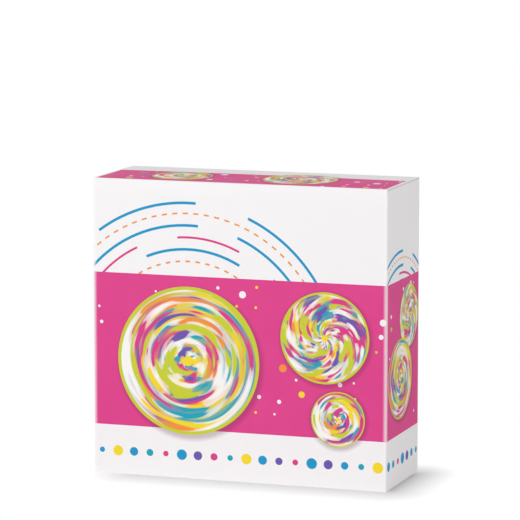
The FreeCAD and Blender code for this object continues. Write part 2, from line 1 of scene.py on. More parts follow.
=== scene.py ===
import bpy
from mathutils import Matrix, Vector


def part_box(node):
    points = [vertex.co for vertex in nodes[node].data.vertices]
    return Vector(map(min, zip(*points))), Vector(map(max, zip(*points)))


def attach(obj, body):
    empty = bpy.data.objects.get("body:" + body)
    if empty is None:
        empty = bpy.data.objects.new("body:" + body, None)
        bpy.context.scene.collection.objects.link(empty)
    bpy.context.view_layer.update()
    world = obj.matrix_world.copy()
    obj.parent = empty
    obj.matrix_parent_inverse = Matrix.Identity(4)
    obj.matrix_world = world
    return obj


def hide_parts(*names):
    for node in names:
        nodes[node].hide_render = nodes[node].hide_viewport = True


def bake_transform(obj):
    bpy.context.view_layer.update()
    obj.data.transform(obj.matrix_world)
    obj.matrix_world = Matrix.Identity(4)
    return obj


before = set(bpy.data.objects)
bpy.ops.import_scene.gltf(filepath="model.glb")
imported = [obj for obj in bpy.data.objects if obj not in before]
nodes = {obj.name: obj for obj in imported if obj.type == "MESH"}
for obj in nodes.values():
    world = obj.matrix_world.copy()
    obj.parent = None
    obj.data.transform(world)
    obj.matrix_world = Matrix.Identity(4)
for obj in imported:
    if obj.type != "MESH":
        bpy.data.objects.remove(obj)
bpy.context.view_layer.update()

import math
import random

import bmesh
import bpy
from mathutils import Matrix, Vector

# Printed board. A folding carton is cut from one sheet of white lined chipboard. Its outer
# side is offset printed and sealed with a thin satin varnish, which shows only broad soft
# highlights; the inner side and the cut edges stay bare.
WIDTH, DEPTH, HEIGHT = 0.222, 0.08, 0.216
BOARD = 0.0008


def linear(hex_colour):
    channels = [int(hex_colour[place:place + 2], 16) / 255 for place in (1, 3, 5)]
    return [c / 12.92 if c <= 0.04045 else ((c + 0.055) / 1.055) ** 2.4 for c in channels] + [1]


def new_material(name):
    material = bpy.data.materials.new(name)
    material.use_nodes = True
    material.node_tree.nodes.clear()
    return material


def add(material, kind, *values, **settings):
    """Add one node: values fill its sockets in order, settings its properties and named sockets."""
    made = material.node_tree.nodes.new("ShaderNode" + kind)
    for name in [name for name in settings if hasattr(made, name)]:
        setattr(made, name, settings.pop(name))
    wanted = list(zip([socket for socket in made.inputs if socket.enabled], values))
    wanted += [(made.inputs[name.replace("_", " ")], value) for name, value in settings.items()]
    for socket, value in wanted:
        if isinstance(value, bpy.types.Node):
            value = next(output for output in value.outputs if output.enabled)
        if isinstance(value, bpy.types.NodeSocket):
            material.node_tree.links.new(value, socket)
        elif value is not None:
            socket.default_value = value
    return made


printed = new_material("offset_printed_chipboard")
WHITE, MAGENTA = linear("#F4F2F3"), linear("#DA3C87")
TEAL, BLUE, YELLOW = linear("#17A3B8"), linear("#1596C8"), linear("#F4D92A")
ORANGE, LIME, PURPLE = linear("#F0933A"), linear("#C6CE33"), linear("#6C55AB")

# The print is laid out in millimetres on the flat sheet: front, right side, back and left side
# stand next to each other, and the lid with its tongue lies on a page of its own above them.
MM = 1000
FACE_WIDE, SIDE_WIDE = 222, 80
RIGHT_PAGE = FACE_WIDE
BACK_PAGE = RIGHT_PAGE + SIDE_WIDE
LEFT_PAGE = BACK_PAGE + FACE_WIDE
SHEET_END = LEFT_PAGE + SIDE_WIDE
LID_PAGE = 300
sheet = add(printed, "UVMap", uv_map="print_sheet")
place = add(printed, "VectorMath", sheet, None, operation="SCALE", Scale=MM)
sheet_axes = add(printed, "SeparateXYZ", place)
across, up = sheet_axes.outputs["X"], sheet_axes.outputs["Y"]


def between(value, low, high):
    above = add(printed, "Math", value, low, operation="GREATER_THAN")
    below = add(printed, "Math", value, high, operation="LESS_THAN")
    return add(printed, "Math", above, below, operation="MULTIPLY")


# A magenta band runs round the four sides at one height, and another along the lid, with a
# white margin at its ends. The ink varies a little, in clouds about 33 mm across.
BAND_FOOT, BAND_TOP = 35.9, 147.7
LID_BAND_START, LID_BAND_END, LID_MARGIN = LID_PAGE - 6, LID_PAGE + 52.8, 2
side_band = between(up, BAND_FOOT, BAND_TOP)
lid_rows = between(up, LID_BAND_START, LID_BAND_END)
lid_columns = between(across, LID_MARGIN, FACE_WIDE - LID_MARGIN)
lid_band = add(printed, "Math", lid_rows, lid_columns, operation="MULTIPLY")
band = add(printed, "Math", side_band, lid_band, operation="MAXIMUM")
drift = add(printed, "TexNoise", place, Scale=0.03, Detail=1, noise_dimensions="2D")
magenta_ink = add(printed, "Mix", drift, MAGENTA, linear("#DE468F"), data_type="RGBA")
ground = add(printed, "Mix", band, WHITE, magenta_ink, data_type="RGBA")

# Rosettes of spun paint, each with a soft printed shadow that reaches 4 mm past its rim.
# In each row: across, up, radius, strokes round, strokes outward, seed.
ROSETTES = [
    (176, 108, 33, 2.2, 4.2, 3), (73, 86, 54, 0.75, 8.5, 11), (186, 50, 20, 0.8, 5.0, 27),
    (276, 119, 23, 2.0, 4.0, 31), (255, 76, 29, 0.8, 6.5, 38),
    (484, 104, 32, 0.9, 6.0, 43), (410, 84, 50, 1.9, 4.5, 52), (338, 62, 24, 0.8, 5.5, 59),
    (573, 70, 28, 0.8, 6.5, 66), (551, 118, 23, 2.1, 4.0, 71),
    (58, LID_PAGE + 30, 22, 0.8, 6.0, 83), (146, LID_PAGE + 36, 27, 1.9, 4.0, 90),
]
SHADOW_SHIFT, SHADOW_REACH = (0.03, -0.04, 0), 4
FAR_OFF = (9, 9, 0)
local, style = FAR_OFF, (1, 1, 0)
cover, shade = 0.0, 0.0
for centre_across, centre_up, radius, round_strokes, outward_strokes, seed in ROSETTES:
    hub_place = (centre_across, centre_up, 0)
    from_hub = add(printed, "VectorMath", place, hub_place, operation="SUBTRACT")
    unit = add(printed, "VectorMath", from_hub, None, operation="SCALE", Scale=1 / radius)
    reach = add(printed, "VectorMath", unit, operation="LENGTH")
    inside = add(printed, "Math", reach, 1, operation="LESS_THAN")
    own_style = (round_strokes, outward_strokes, seed)
    local = add(printed, "Mix", inside, local, unit, data_type="VECTOR")
    style = add(printed, "Mix", inside, style, own_style, data_type="VECTOR")
    moved = add(printed, "VectorMath", unit, SHADOW_SHIFT, operation="SUBTRACT")
    away = add(printed, "VectorMath", moved, operation="LENGTH")
    soft = add(printed, "MapRange", away, 0.98, 1 + SHADOW_REACH / radius, 1, 0,
               interpolation_type="SMOOTHSTEP")
    darkest = add(printed, "Math", shade, soft, operation="MAXIMUM")
    outside = add(printed, "Math", 1, inside, operation="SUBTRACT")
    shade = add(printed, "Math", darkest, outside, operation="MULTIPLY")
    cover = add(printed, "Math", cover, inside, operation="MAXIMUM")

# Paint flung outward by the spinning bends into arcs, so the strokes are drawn in turned rays.
# Each ink covers what passes its threshold, with a thin wash of the same ink round it.
TWIST, EDGE, WASH = 2.4, 0.008, 0.09
RIM, HUB = 0.955, 0.07
INKS = [(YELLOW, 0.57), (TEAL, 0.59), (ORANGE, 0.63), (MAGENTA, 0.59), (PURPLE, 0.65), (LIME, 0.62)]
strokes = add(printed, "SeparateXYZ", style)
reach = add(printed, "VectorMath", local, operation="LENGTH")
twist = add(printed, "Math", reach, TWIST, operation="MULTIPLY")
turned_local = add(printed, "VectorRotate", local, (0, 0, 0), twist, rotation_type="Z_AXIS")
ray = add(printed, "VectorMath", turned_local, operation="NORMALIZE")
ray = add(printed, "VectorMath", ray, None, operation="SCALE", Scale=strokes.outputs["X"])
outward = add(printed, "Math", reach, strokes.outputs["Y"], strokes.outputs["Z"],
              operation="MULTIPLY_ADD")
flow = add(printed, "VectorMath", ray, add(printed, "CombineXYZ", 0, 0, outward), operation="ADD")
paper = linear("#F7F6F4")
for number, (ink, threshold) in enumerate(INKS):
    apart = (13.7 * number, 5.1, 29.3 * number)
    own_flow = add(printed, "VectorMath", flow, apart, operation="ADD")
    wet = add(printed, "TexNoise", own_flow, Scale=1, Detail=1.5, Roughness=0.4)
    wash = add(printed, "MapRange", wet, threshold - WASH, threshold, 0, 0.4)
    paper = add(printed, "Mix", wash, paper, ink, data_type="RGBA")
    stroke = add(printed, "MapRange", wet, threshold - EDGE, threshold + EDGE, 0, 1)
    paper = add(printed, "Mix", stroke, paper, ink, data_type="RGBA")
rim_ring = add(printed, "Math", reach, RIM, operation="GREATER_THAN")
paper = add(printed, "Mix", rim_ring, paper, LIME, data_type="RGBA")
hub = add(printed, "Math", reach, HUB, operation="LESS_THAN")
paper = add(printed, "Mix", hub, paper, YELLOW, data_type="RGBA")

# Drops of paint in the band, 1.5 to 6.6 mm across, about 15 mm apart, in loose crowds. Each
# is whole or left out: what decides is where its middle lies.
DROP_APART, CROWD_APART, DROP_MARGIN = 15, 45, 4
cells = add(printed, "TexVoronoi", place, Scale=1 / DROP_APART, Randomness=0.7,
            voronoi_dimensions="2D")
chance = add(printed, "SeparateColor", cells.outputs["Color"])
drop_size = add(printed, "Math", chance.outputs["Red"], 3, operation="POWER")
drop_size = add(printed, "Math", drop_size, 0.17, 0.05, operation="MULTIPLY_ADD")
drop = add(printed, "Math", cells.outputs["Distance"], drop_size, operation="LESS_THAN")
drop_middle = cells.outputs["Position"]
crowd = add(printed, "TexNoise", drop_middle, Scale=1 / CROWD_APART, Detail=0,
            noise_dimensions="2D")
crowded = add(printed, "Math", crowd, 0.46, operation="GREATER_THAN")
drop = add(printed, "Math", drop, crowded, operation="MULTIPLY")
drop_up = add(printed, "SeparateXYZ", drop_middle).outputs["Y"]
whole = add(printed, "Math", between(drop_up, BAND_FOOT + DROP_MARGIN, BAND_TOP - DROP_MARGIN),
            between(drop_up, LID_BAND_START + DROP_MARGIN, LID_BAND_END - DROP_MARGIN),
            operation="MAXIMUM")
in_band = add(printed, "Math", whole, band, operation="MULTIPLY")
drop = add(printed, "Math", drop, in_band, operation="MULTIPLY")
drop_ink = WHITE
for share, ink in ((0.62, YELLOW), (0.74, TEAL), (0.84, ORANGE), (0.93, LIME)):
    chosen = add(printed, "Math", chance.outputs["Green"], share, operation="GREATER_THAN")
    drop_ink = add(printed, "Mix", chosen, drop_ink, ink, data_type="RGBA")
ground = add(printed, "Mix", drop, ground, drop_ink, data_type="RGBA")

# Each page has the centre and radius that its arcs go round, and a row of spots, with the
# page's start and the distance between two spots
FACE_STEP, SIDE_STEP = FACE_WIDE / 18, SIDE_WIDE / 7
PAGES = [(RIGHT_PAGE, (256, 96, 34), SIDE_STEP), (BACK_PAGE, (410, 84, 54), FACE_STEP),
         (LEFT_PAGE, (573, 96, 34), SIDE_STEP)]
centre, spot_row = (73, 86, 54), (0, FACE_STEP, 0)
for page, page_centre, page_step in PAGES:
    on_page = add(printed, "Math", across, page, operation="GREATER_THAN")
    centre = add(printed, "Mix", on_page, centre, page_centre, data_type="VECTOR")
    spot_row = add(printed, "Mix", on_page, spot_row, (page, page_step, 0), data_type="VECTOR")

# Thin broken arcs in the white zone above the band. In each row: times the page's radius,
# line in mm, ink, dashes in a full turn, inked share of a dash, and where the first starts.
ARC_TOP = 208
ARCS = [
    (1.34, 1.3, ORANGE, 60, 0.45, 0.2), (1.50, 2.0, BLUE, 5, 0.72, 0.15),
    (1.66, 1.6, MAGENTA, 7, 0.6, 0.75), (1.82, 2.0, BLUE, 4, 0.8, 0.05),
    (1.98, 1.2, ORANGE, 84, 0.5, 0), (2.12, 2.0, BLUE, 6, 0.66, 0.55),
]
middle = add(printed, "SeparateXYZ", centre)
along = add(printed, "Math", across, middle.outputs["X"], operation="SUBTRACT")
rise = add(printed, "Math", up, middle.outputs["Y"], operation="SUBTRACT")
from_middle = add(printed, "CombineXYZ", along, rise, 0)
spread = add(printed, "VectorMath", from_middle, operation="LENGTH")
bearing = add(printed, "Math", rise, along, operation="ARCTAN2")
arc_zone = between(up, BAND_TOP, ARC_TOP)
for ratio, line, ink, dashes, inked, start in ARCS:
    ring = add(printed, "Math", middle.outputs["Z"], ratio, operation="MULTIPLY")
    near_ring = add(printed, "Math", spread, ring, line / 2, operation="COMPARE")
    turn = add(printed, "Math", bearing, dashes / math.tau, start, operation="MULTIPLY_ADD")
    part = add(printed, "Math", turn, operation="FRACT")
    dash = add(printed, "Math", part, inked, operation="LESS_THAN")
    arc = add(printed, "Math", near_ring, dash, operation="MULTIPLY")
    arc = add(printed, "Math", arc, arc_zone, operation="MULTIPLY")
    ground = add(printed, "Mix", arc, ground, ink, data_type="RGBA")

# A row of colour spots near the foot, 4 to 9 mm across and whole on every face. Colour and
# size step on by a share of a turn from spot to spot, so no two neighbours are alike.
SPOT_UP, SPOT_SMALLEST, SPOT_LARGEST = 17, 2.0, 4.4
COLOUR_STEP, SIZE_STEP = 0.618, 0.755
page_row = add(printed, "SeparateXYZ", spot_row)
row = add(printed, "Math", across, page_row.outputs["X"], operation="SUBTRACT")
row = add(printed, "Math", row, page_row.outputs["Y"], operation="DIVIDE")
cell = add(printed, "Math", row, operation="FLOOR")
count = add(printed, "Math", cell, page_row.outputs["X"], operation="ADD")
colour_turn = add(printed, "Math", count, COLOUR_STEP, operation="MULTIPLY")
colour_pick = add(printed, "Math", colour_turn, operation="FRACT")
size_turn = add(printed, "Math", count, SIZE_STEP, operation="MULTIPLY")
size_pick = add(printed, "Math", size_turn, operation="FRACT")
in_cell = add(printed, "Math", row, cell, operation="SUBTRACT")
aside = add(printed, "Math", in_cell, 0.5, operation="SUBTRACT")
aside = add(printed, "Math", aside, page_row.outputs["Y"], operation="MULTIPLY")
lift = add(printed, "Math", up, SPOT_UP, operation="SUBTRACT")
from_spot = add(printed, "CombineXYZ", aside, lift, 0)
spot_reach = add(printed, "VectorMath", from_spot, operation="LENGTH")
spot_size = add(printed, "MapRange", size_pick, 0, 1, SPOT_SMALLEST, SPOT_LARGEST)
spot_mask = add(printed, "Math", spot_reach, spot_size, operation="LESS_THAN")
spot_ink = BLUE
for share, ink in ((0.3, MAGENTA), (0.5, YELLOW), (0.65, PURPLE), (0.8, TEAL)):
    chosen = add(printed, "Math", colour_pick, share, operation="GREATER_THAN")
    spot_ink = add(printed, "Mix", chosen, spot_ink, ink, data_type="RGBA")
ground = add(printed, "Mix", spot_mask, ground, spot_ink, data_type="RGBA")

# The creases: within 3.2 mm of a fold the print pales to near white, in flakes about 0.9 mm
# across. Part of this is the ink cracking so that the white lining of the board shows through,
# and part is a painted highlight for the light that the rounded crease catches. The board's
# fibres lift the varnish a little; they are finer than the render shows, so they are drawn at
# 0.4 mm.
CREASE_PALE_STARTS, CREASE_PALE_FULL = 3.2, 0.3
FOLDS = [(0, across), (RIGHT_PAGE, across), (BACK_PAGE, across), (LEFT_PAGE, across),
         (SHEET_END, across), (LID_PAGE, up), (LID_PAGE + SIDE_WIDE, up)]
crease = 9.0
for fold, coordinate in FOLDS:
    apart = add(printed, "Math", coordinate, fold, operation="SUBTRACT")
    apart = add(printed, "Math", apart, operation="ABSOLUTE")
    crease = add(printed, "Math", crease, apart, operation="MINIMUM")
crack = add(printed, "TexNoise", place, Scale=1.1, Detail=3, noise_dimensions="2D")
flakes = add(printed, "MapRange", crack, 0.35, 0.6, 0.82, 1)
crease_wear_and_highlight = add(printed, "MapRange", crease, CREASE_PALE_STARTS, CREASE_PALE_FULL, 0, 0.72,
           interpolation_type="SMOOTHSTEP")
crease_wear_and_highlight = add(printed, "Math", crease_wear_and_highlight, flakes, operation="MULTIPLY")
shaded = add(printed, "Math", shade, 0.42, operation="MULTIPLY")
ground = add(printed, "Mix", shaded, ground, linear("#7A2453"), data_type="RGBA")
artwork = add(printed, "Mix", cover, ground, paper, data_type="RGBA")
# Paler at the folds: cracked ink, plus a painted highlight of the rounded crease
artwork = add(printed, "Mix", crease_wear_and_highlight, artwork, linear("#FBF9FA"), data_type="RGBA")
fibres = add(printed, "TexNoise", place, Scale=2.6, Detail=3, noise_dimensions="2D")
varnish = add(printed, "MapRange", drift, 0.3, 0.7, 0.56, 0.64)
relief = add(printed, "Bump", Height=fibres, Strength=0.08, Distance=0.0001)
add(printed, "OutputMaterial", add(
    printed, "BsdfPrincipled", Base_Color=artwork, Roughness=varnish, IOR=1.33, Normal=relief))

# The bare side is grey recycled pulp, quite matt. Its fibres are too fine to show and are
# drawn at 1.8 to the millimetre; its darker specks are about 0.5 mm across and 2.4 mm apart.
GREY_PULP, PALE_PULP = linear("#C9C4BB"), linear("#DDD9D2")
bare = new_material("bare_grey_chipboard")
inside_place = add(bare, "TexCoord").outputs["Object"]
fibre = add(bare, "TexNoise", inside_place, Scale=1.8 * MM, Detail=4, Roughness=0.7)
speck = add(bare, "TexVoronoi", inside_place, Scale=0.42 * MM)
speck_mask = add(bare, "MapRange", speck, 0.12, 0.05, 0, 0.5)
pulp = add(bare, "Mix", fibre, GREY_PULP, PALE_PULP, data_type="RGBA")
pulp = add(bare, "Mix", speck_mask, pulp, linear("#8F8A84"), data_type="RGBA")
relief = add(bare, "Bump", Height=fibre, Strength=0.3, Distance=0.0001)
add(bare, "OutputMaterial", add(
    bare, "BsdfPrincipled", Base_Color=pulp, Roughness=0.9, Normal=relief))

# The cut edge shows the torn layers of the board. They are about 0.1 mm thick, too fine to
# show, so they are drawn at 0.7 mm.
cut_edge = new_material("die_cut_chipboard_edge")
edge_place = add(cut_edge, "TexCoord").outputs["Object"]
layers = add(cut_edge, "TexNoise", edge_place, Scale=1.5 * MM, Detail=3)
tone = add(cut_edge, "Mix", layers, linear("#D9D4CD"), linear("#F1EEEA"), data_type="RGBA")
relief = add(cut_edge, "Bump", Height=layers, Strength=0.4, Distance=0.0001)
add(cut_edge, "OutputMaterial", add(
    cut_edge, "BsdfPrincipled", Base_Color=tone, Roughness=0.85, Normal=relief))


# Carton sleeve: the front, right side, back and left side are one strip of board, folded at
# three creases and glued along the fourth. The panels bow out a little and the front one
# stands higher, so that its raw edge covers the end of the lid.
SIDE_TOP, BACK_TOP = 0.214, 0.2149
CREASE_ROUND, BESIDE_CREASE = 0.0012, 0.003
FACE_BOW, SIDE_BOW = 0.00035, 0.0002
ROW_CUTS, COLUMN_CUTS, LONG_RUN = 17, 13, 0.03
ROLLED_LIP, NEAR = 0.00025, 1e-6


def in_scene(name, data):
    """Put an object of this mesh, lamp or camera in the scene."""
    placed = bpy.data.objects.new(name, data)
    bpy.context.scene.collection.objects.link(placed)
    return placed


def new_piece(name, form, *materials):
    """Make a piece of a finished bmesh."""
    mesh = bpy.data.meshes.new(name)
    form.to_mesh(mesh)
    form.free()
    for material in materials:
        mesh.materials.append(material)
    return in_scene(name, mesh)


def smooth(mesh, sharpest):
    """Shade smooth, apart from the edges that turn by more than this many degrees."""
    mesh.shade_smooth()
    mesh.set_sharp_from_angle(angle=math.radians(sharpest))


def lay_print(skin, spot):
    """Give every corner of the skin its place on the flat printed sheet."""
    sheet_map = skin.loops.layers.uv.new("print_sheet")
    for face in skin.faces:
        face.normal_update()
        for loop in face.loops:
            loop[sheet_map].uv = spot(loop.vert.co, face.normal)


def board_piece(name, skin, replaced=(), rolled=None):
    """Give a skin the board's thickness inward: print outside, bare inside, cut edges between.

    The die rolls the print over a cut edge a little: rolled picks those edges by their middle.
    """
    piece = new_piece(name, skin, printed, bare, cut_edge)
    wall = piece.modifiers.new("board", "SOLIDIFY")
    wall.thickness, wall.offset, wall.use_even_offset = BOARD, -1, True
    wall.material_offset, wall.material_offset_rim = 1, 2
    depsgraph = bpy.context.evaluated_depsgraph_get()
    solid = bpy.data.meshes.new_from_object(
        piece.evaluated_get(depsgraph), preserve_all_data_layers=True, depsgraph=depsgraph)
    piece.modifiers.clear()
    piece.data = solid
    if rolled:
        form = bmesh.new()
        form.from_mesh(solid)
        lips = [e for e in form.edges if {f.material_index for f in e.link_faces} == {0, 2}
                and rolled((e.verts[0].co + e.verts[1].co) / 2)]
        bmesh.ops.bevel(form, geom=lips, offset=ROLLED_LIP, affect="EDGES", segments=2,
                        profile=0.5, material=0)
        form.to_mesh(solid)
        form.free()
    smooth(solid, 35)
    if replaced:
        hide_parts(*replaced)
    return piece


def uprights(skin):
    return [e for e in skin.edges if abs(e.verts[0].co.z - e.verts[1].co.z) > BOARD]


skin = bmesh.new()
bmesh.ops.create_cube(skin, size=1)
bmesh.ops.scale(skin, vec=(WIDTH, DEPTH, HEIGHT), verts=skin.verts)
bmesh.ops.translate(skin, vec=(0, 0, HEIGHT / 2), verts=skin.verts)
bmesh.ops.bevel(skin, geom=uprights(skin), offset=CREASE_ROUND, affect="EDGES", segments=4,
                profile=0.5, material=-1)
ends = [f for f in skin.faces if abs(f.normal.z) > 0.9]
bmesh.ops.delete(skin, geom=ends, context="FACES_ONLY")
for axis, far in ((0, WIDTH / 2), (1, DEPTH / 2)):
    for side in (-1, 1):
        cut_at, cut_across = [0, 0, 0], [0, 0, 0]
        cut_at[axis], cut_across[axis] = side * (far - BESIDE_CREASE), 1
        bmesh.ops.bisect_plane(skin, geom=skin.verts[:] + skin.edges[:] + skin.faces[:],
                               plane_co=cut_at, plane_no=cut_across, dist=NEAR)
bmesh.ops.subdivide_edges(skin, edges=uprights(skin), cuts=ROW_CUTS, use_grid_fill=True)
level_runs = [e for e in skin.edges if e.calc_length() > LONG_RUN]
bmesh.ops.subdivide_edges(skin, edges=level_runs, cuts=COLUMN_CUTS, use_grid_fill=True)
for vert in skin.verts:
    x, y, z = vert.co
    swell = math.sin(math.pi * z / HEIGHT)
    if abs(y) > DEPTH / 2 - NEAR:
        vert.co.y += math.copysign(FACE_BOW, y) * swell * math.cos(math.pi * x / WIDTH)
    elif abs(x) > WIDTH / 2 - NEAR:
        vert.co.x += math.copysign(SIDE_BOW, x) * swell * math.cos(math.pi * y / DEPTH)
    if z > HEIGHT - NEAR and y > CREASE_ROUND / 2 - DEPTH / 2:
        vert.co.z = SIDE_TOP if y < DEPTH / 2 - CREASE_ROUND / 2 else BACK_TOP


def sleeve_spot(co, normal):
    if abs(normal.y) >= abs(normal.x):
        from_left = WIDTH / 2 + co.x if normal.y < 0 else BACK_PAGE / MM + WIDTH / 2 - co.x
    elif normal.x > 0:
        from_left = RIGHT_PAGE / MM + DEPTH / 2 + co.y
    else:
        from_left = LEFT_PAGE / MM + DEPTH / 2 - co.y
    return from_left, co.z


lay_print(skin, sleeve_spot)
sleeve = board_piece(
    "carton_sleeve", skin, ("front_panel", "right_panel", "back_panel", "left_panel"),
    rolled=lambda co: co.z > HEIGHT - BOARD / 2)
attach(sleeve, "carton")
nodes["glue_flap"].data.materials[0] = bare


# Base: four flaps folded in from the sleeve and glued over each other. The outer one has its
# varnished white side down, smoother than its pulp side.
white_board = new_material("varnished_white_chipboard")
board_place = add(white_board, "TexCoord").outputs["Object"]
level = add(white_board, "SeparateXYZ", board_place).outputs["Z"]
under = add(white_board, "Math", level, BOARD / 2, operation="LESS_THAN")
fibre = add(white_board, "TexNoise", board_place, Scale=1.8 * MM, Detail=4, Roughness=0.7)
grey = add(white_board, "Mix", fibre, GREY_PULP, PALE_PULP, data_type="RGBA")
tone = add(white_board, "Mix", under, grey, WHITE, data_type="RGBA")
gloss = add(white_board, "MapRange", under, 0, 1, 0.9, 0.38)
relief = add(white_board, "Bump", Height=fibre, Strength=0.15, Distance=0.0001)
add(white_board, "OutputMaterial", add(
    white_board, "BsdfPrincipled", Base_Color=tone, Roughness=gloss, Normal=relief))
nodes["base_outer_flap"].data.materials[0] = white_board
for name in ("base_inner_flap", "base_dust_flap_left", "base_dust_flap_right"):
    nodes[name].data.materials[0] = bare


# Top closure: the lid is the back panel carried forward over a crease, and its tuck tongue
# goes down behind the front panel. The dust flaps are the side panels carried inward, and
# they lie under the lid.
LID_HALF, TONGUE_HALF = 0.1107, 0.1084
LID_FRONT, LID_BACK = -0.038, 0.039
LID_MIDDLE, LID_BOW, BOW_SPAN = (LID_FRONT + LID_BACK) / 2, 0.00025, 0.078
BEND, BEND_STEPS = 0.001, 8


def lid_spot(co, normal):
    drop = HEIGHT - co.z if co.y < 0 else co.z - HEIGHT
    return co.x + WIDTH / 2, LID_PAGE / MM + DEPTH / 2 + co.y - drop


def blank_spot(co, normal):
    """Below the printed pages the sheet is plain white."""
    return co.x, -0.2 + co.y


def bent_strip(half, start, centre, angle):
    """Spin a level edge of the given half length about a crease to make the board's bend."""
    strip = bmesh.new()
    ends = [strip.verts.new((side * half, *start)) for side in (-1, 1)]
    edge = strip.edges.new(ends)
    bmesh.ops.spin(strip, geom=ends + [edge], cent=(0, *centre), axis=(1, 0, 0), angle=angle,
                   steps=BEND_STEPS)
    bmesh.ops.recalc_face_normals(strip, faces=strip.faces)
    crease_line = Vector((0, *centre))
    if sum(f.normal.dot(f.calc_center_median() - crease_line) for f in strip.faces) < 0:
        bmesh.ops.reverse_faces(strip, faces=strip.faces)
    return strip


skin = bmesh.new()
bmesh.ops.create_grid(skin, x_segments=18, y_segments=10, size=0.5)
bmesh.ops.scale(skin, vec=(2 * LID_HALF, LID_BACK - LID_FRONT, 1), verts=skin.verts)
bmesh.ops.translate(skin, vec=(0, LID_MIDDLE, HEIGHT), verts=skin.verts)
for vert in skin.verts:
    along_bow = math.cos(math.pi * vert.co.x / (2 * LID_HALF))
    vert.co.z += LID_BOW * along_bow * math.cos(math.pi * (vert.co.y - LID_MIDDLE) / BOW_SPAN)
lay_print(skin, lid_spot)
lid = board_piece("lid_board", skin, ("lid_panel",),
                  rolled=lambda co: abs(co.x) > LID_HALF - BOARD)
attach(lid, "lid")

skin = bent_strip(LID_HALF, (LID_BACK, HEIGHT), (LID_BACK, HEIGHT - BEND), -math.pi / 2)
lay_print(skin, lid_spot)
lid_bend = board_piece("lid_crease_bend", skin)
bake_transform(lid_bend)

# The tongue leans in by 12 degrees, as its bend goes a little past a right angle
LEAN = math.radians(12)
TONGUE_LONG, TONGUE_CORNER = 0.0152, 0.011
skin = bent_strip(TONGUE_HALF, (LID_FRONT, HEIGHT), (LID_FRONT, HEIGHT - BEND), math.pi / 2 + LEAN)
lay_print(skin, lid_spot)
tongue_bend = board_piece("tongue_crease_bend", skin)
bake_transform(tongue_bend)

skin = bmesh.new()
bmesh.ops.create_grid(skin, x_segments=1, y_segments=1, size=0.5)
bmesh.ops.scale(skin, vec=(2 * TONGUE_HALF, TONGUE_LONG, 1), verts=skin.verts)
bmesh.ops.translate(skin, vec=(0, -TONGUE_LONG / 2, 0), verts=skin.verts)
corners = [v for v in skin.verts if v.co.y < -TONGUE_LONG / 2]
bmesh.ops.bevel(skin, geom=corners, offset=TONGUE_CORNER, affect="VERTICES", segments=10,
                profile=0.5, material=-1)
tongue_top = Vector((0, LID_FRONT - BEND * math.cos(LEAN), HEIGHT - BEND - BEND * math.sin(LEAN)))
bmesh.ops.rotate(skin, verts=skin.verts, cent=(0, 0, 0),
                 matrix=Matrix.Rotation(math.pi / 2 + LEAN, 3, "X"))
bmesh.ops.translate(skin, vec=tongue_top, verts=skin.verts)
bmesh.ops.recalc_face_normals(skin, faces=skin.faces)
if skin.faces[:][0].normal.y > 0:
    bmesh.ops.reverse_faces(skin, faces=skin.faces)
lay_print(skin, lid_spot)
tongue = board_piece("tuck_tongue_board", skin, ("tuck_tongue",))
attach(tongue, "tongue")

# Each dust flap steps back at the front to clear the tongue and tapers at the back
FLAP_ROOT, FLAP_END = 0.1099, 0.0506
FLAP_STEP, FLAP_TAPER, FLAP_CORNER = 0.004, 0.0319, 0.007
for side, body, node in ((-1, "left_flap", "dust_flap_left"), (1, "right_flap", "dust_flap_right")):
    low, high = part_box(node)
    top, step_y = high.z, low.y + FLAP_STEP
    skin = bmesh.new()
    stations = [(FLAP_ROOT, low.y), (0.1086, low.y), (0.1066, step_y), (FLAP_END, step_y),
                (FLAP_END, high.y - FLAP_TAPER), (FLAP_ROOT, high.y)]
    outline = [skin.verts.new((side * x, y, top)) for x, y in stations]
    skin.faces.new(outline)
    skin.verts.ensure_lookup_table()
    corners = [v for v in skin.verts if abs(v.co.x) < FLAP_END + 1e-5]
    bmesh.ops.bevel(skin, geom=corners, offset=FLAP_CORNER, affect="VERTICES", segments=8,
                    profile=0.5, material=-1)
    bmesh.ops.recalc_face_normals(skin, faces=skin.faces)
    if skin.faces[:][0].normal.z < 0:
        bmesh.ops.reverse_faces(skin, faces=skin.faces)
    lay_print(skin, blank_spot)
    flap = board_piece(node + "_board", skin, (node,))
    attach(flap, body)

    skin = bmesh.new()
    ends = [skin.verts.new((side * WIDTH / 2, y, SIDE_TOP)) for y in (low.y, high.y)]
    edge = skin.edges.new(ends)
    bmesh.ops.spin(skin, geom=ends + [edge], cent=(side * FLAP_ROOT, 0, SIDE_TOP), axis=(0, 1, 0),
                   angle=-side * math.pi / 2, steps=BEND_STEPS)
    bmesh.ops.recalc_face_normals(skin, faces=skin.faces)
    if sum(face.normal.x * side + face.normal.z for face in skin.faces) < 0:
        bmesh.ops.reverse_faces(skin, faces=skin.faces)
    lay_print(skin, blank_spot)
    bend = board_piece(node + "_bend", skin)
    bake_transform(bend)


# Card insert: one sheet of uncoated white card, die-cut and folded into two legs, a deck and a
# cradle for the top's peg. Nothing is glued; the carton round it holds it. The card is matt,
# with faint clouds of 17 mm and fibres that are drawn coarser to show, at 0.6 mm.
card = new_material("uncoated_white_card")
card_place = add(card, "TexCoord").outputs["Object"]
fibre = add(card, "TexNoise", card_place, Scale=1.6 * MM, Detail=4, Roughness=0.7)
cloud = add(card, "TexNoise", card_place, Scale=0.06 * MM, Detail=2)
clouded = add(card, "MapRange", cloud, 0.4, 0.7, 0, 0.15)
tone = add(card, "Mix", fibre, linear("#E6E4DF"), linear("#F2F0EC"), data_type="RGBA")
tone = add(card, "Mix", clouded, tone, linear("#DEDBD4"), data_type="RGBA")
relief = add(card, "Bump", Height=fibre, Strength=0.25, Distance=0.0001)
add(card, "OutputMaterial", add(
    card, "BsdfPrincipled", Base_Color=tone, Roughness=0.88, Normal=relief))
for part in ("front_board", "rear_board", "cradle_board", "base_board", "deck"):
    nodes["insert_" + part].data.materials[0] = card


